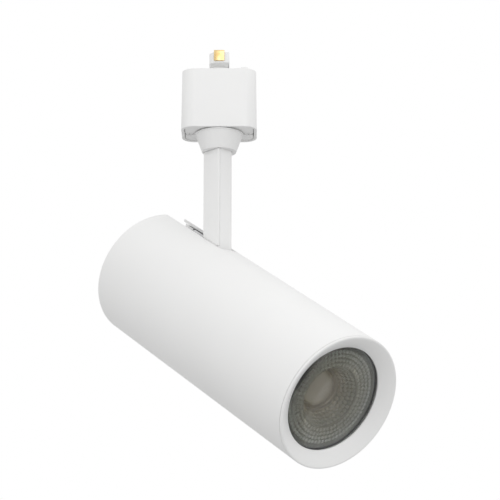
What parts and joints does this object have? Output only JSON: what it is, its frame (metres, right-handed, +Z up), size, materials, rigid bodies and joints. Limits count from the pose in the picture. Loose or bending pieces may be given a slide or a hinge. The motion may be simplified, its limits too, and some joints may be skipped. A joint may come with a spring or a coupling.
{
  "type": "track spotlight",
  "caption": "Tubular track spotlight: a twist-in track adapter, a swivelling arm and a slotted lamp tube that tilts on it, with a lens behind a shallow front ring.",
  "frame": {"origin": "on the pan axis, in the plane where the adapter's shoulder seats against the underside of the track", "axes": "+Z up, out of the adapter into the track; +X along the track; the lamp hangs below and points towards +X, -Y and down"},
  "size_m": [0.1641, 0.1699, 0.2473],
  "materials": {
    "white_paint": "fine matt powder coat",
    "white_plastic": "satin moulded polycarbonate",
    "grey_nylon": "matt nylon",
    "black_plastic": "satin moulded plastic",
    "silicone": "matt silicone",
    "steel": "zinc-plated steel",
    "aluminium": "bare die-cast aluminium",
    "brass": "bright brass strip",
    "clear_glass": "clear polished",
    "lens_clear": "clear polycarbonate with faceted beads",
    "led_board": "white ceramic",
    "led_phosphor": "yellow phosphor gel",
    "circuit_board": "green solder mask",
    "transformer_tape": "yellow polyester tape",
    "wire_live": "brown insulation",
    "wire_neutral": "blue insulation",
    "wire_earth": "green and yellow insulation"
  },
  "bodies": {
    "adapter": {"adapter_housing": "white_plastic", "adapter_bottom_plate": "white_plastic", "swivel_bush": "grey_nylon", "contact_carrier": "white_plastic", "line_contact": "brass", "neutral_contact": "brass", "earth_contact": "brass", "adapter_lead_live": "wire_live", "adapter_lead_neutral": "wire_neutral", "plate_screw_left": "steel", "plate_screw_right": "steel", "lock_spring": "steel"},
    "lock": {"lock_slider": "white_plastic"},
    "arm": {"swivel_collar": "white_paint", "swivel_stud": "steel", "stop_washer": "steel", "spring_washer": "steel", "swivel_nut": "steel", "arm": "white_paint", "arm_cover": "white_paint", "arm_wire_live": "wire_live", "arm_wire_neutral": "wire_neutral", "arm_wire_earth": "wire_earth"},
    "lamp": {"lamp_tube": "white_paint", "bezel": "white_paint", "front_glass": "clear_glass", "glass_gasket": "silicone", "lens": "lens_clear", "lens_holder": "black_plastic", "cob_board": "led_board", "cob_phosphor": "led_phosphor", "led_holder": "white_plastic", "led_screw_left": "steel", "led_screw_right": "steel", "heat_sink": "aluminium", "pivot_bracket": "steel", "bracket_screw_front": "steel", "bracket_screw_rear": "steel", "pivot_bolt": "steel", "pivot_nut": "steel", "friction_washer_left": "grey_nylon", "friction_washer_right": "grey_nylon", "driver_tray": "white_plastic", "driver_lid": "white_plastic", "thermal_pad": "silicone", "driver_board": "circuit_board", "driver_transformer": "transformer_tape", "driver_capacitor": "black_plastic", "rear_cap": "white_plastic", "cap_post_left": "aluminium", "cap_post_right": "aluminium", "cap_post_bottom": "aluminium", "cap_screw_left": "steel", "cap_screw_right": "steel", "cap_screw_bottom": "steel"}
  },
  "joints": [
    {"name": "pan", "type": "hinge", "parent": "adapter", "child": "arm", "pos_m": [0, 0, -0.036], "axis": [0, 0, 1], "range_deg": [-122.8, 217.2]},
    {"name": "tilt", "type": "hinge", "parent": "arm", "child": "lamp", "pos_m": [0, 0, -0.1086], "axis": [0.7337, 0.6794, 0], "range_deg": [-32.6, 57.4]},
    {"name": "lock_pull", "type": "slide", "parent": "adapter", "child": "lock", "axis": [0, 0, -1], "range_m": [0, 0.005], "stiffness_N_per_m": 400, "springref_m": -0.002, "deforming": ["lock_spring"]}
  ]
}
